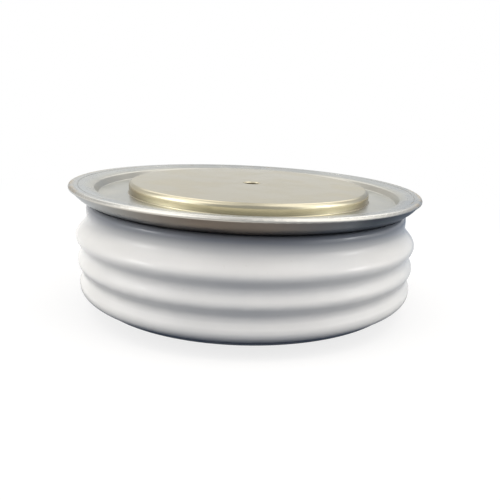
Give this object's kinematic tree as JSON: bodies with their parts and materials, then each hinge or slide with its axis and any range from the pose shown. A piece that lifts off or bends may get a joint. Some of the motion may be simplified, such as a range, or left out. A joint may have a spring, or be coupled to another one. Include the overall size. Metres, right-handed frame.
{
  "type": "press-pack thyristor",
  "caption": "Disc-shaped power semiconductor in a ribbed ceramic capsule, clamped between heat sinks, with a contact face on each side and gate and auxiliary tabs at its back.",
  "frame": {"origin": "centre of the anode contact face, on the axis of the capsule", "axes": "+Z along the capsule's axis, from the anode contact face to the cathode contact face; +Y towards the gate tube and its tab; the picture is taken from the -Y side"},
  "size_m": [0.075, 0.0825, 0.026],
  "materials": {
    "glazed_ceramic": "gloss",
    "plated_copper": "satin",
    "plated_sheet": "satin",
    "dark_plated_sheet": "satin",
    "molybdenum": "satin",
    "silicon": "polished",
    "silicone_rubber": "matte",
    "white_plastic": "matte",
    "silver_plate": "bright",
    "spring_steel": "satin",
    "solder": "satin",
    "tinned_blade": "satin"
  },
  "bodies": {
    "root": {"ceramic_housing": "glazed_ceramic", "cathode_pole": "plated_copper", "anode_pole": "plated_copper", "cathode_flange": "plated_sheet", "cathode_weld_ring": "dark_plated_sheet", "anode_flange": "dark_plated_sheet", "anode_molybdenum_disc": "molybdenum", "silicon_wafer": "silicon", "wafer_edge_ring": "silicone_rubber", "cathode_molybdenum_disc": "molybdenum", "wafer_locating_ring": "white_plastic", "pole_locating_ring": "white_plastic", "gate_contact_pin": "silver_plate", "gate_guide_bush": "white_plastic", "gate_spring": "spring_steel", "gate_spring_washer": "spring_steel", "gate_insulating_cup": "white_plastic", "gate_lead": "silver_plate", "gate_lead_sleeve": "white_plastic", "gate_tube": "plated_sheet", "gate_tube_seal": "solder", "gate_terminal": "tinned_blade", "auxiliary_cathode_terminal": "tinned_blade"}
  },
  "joints": []
}
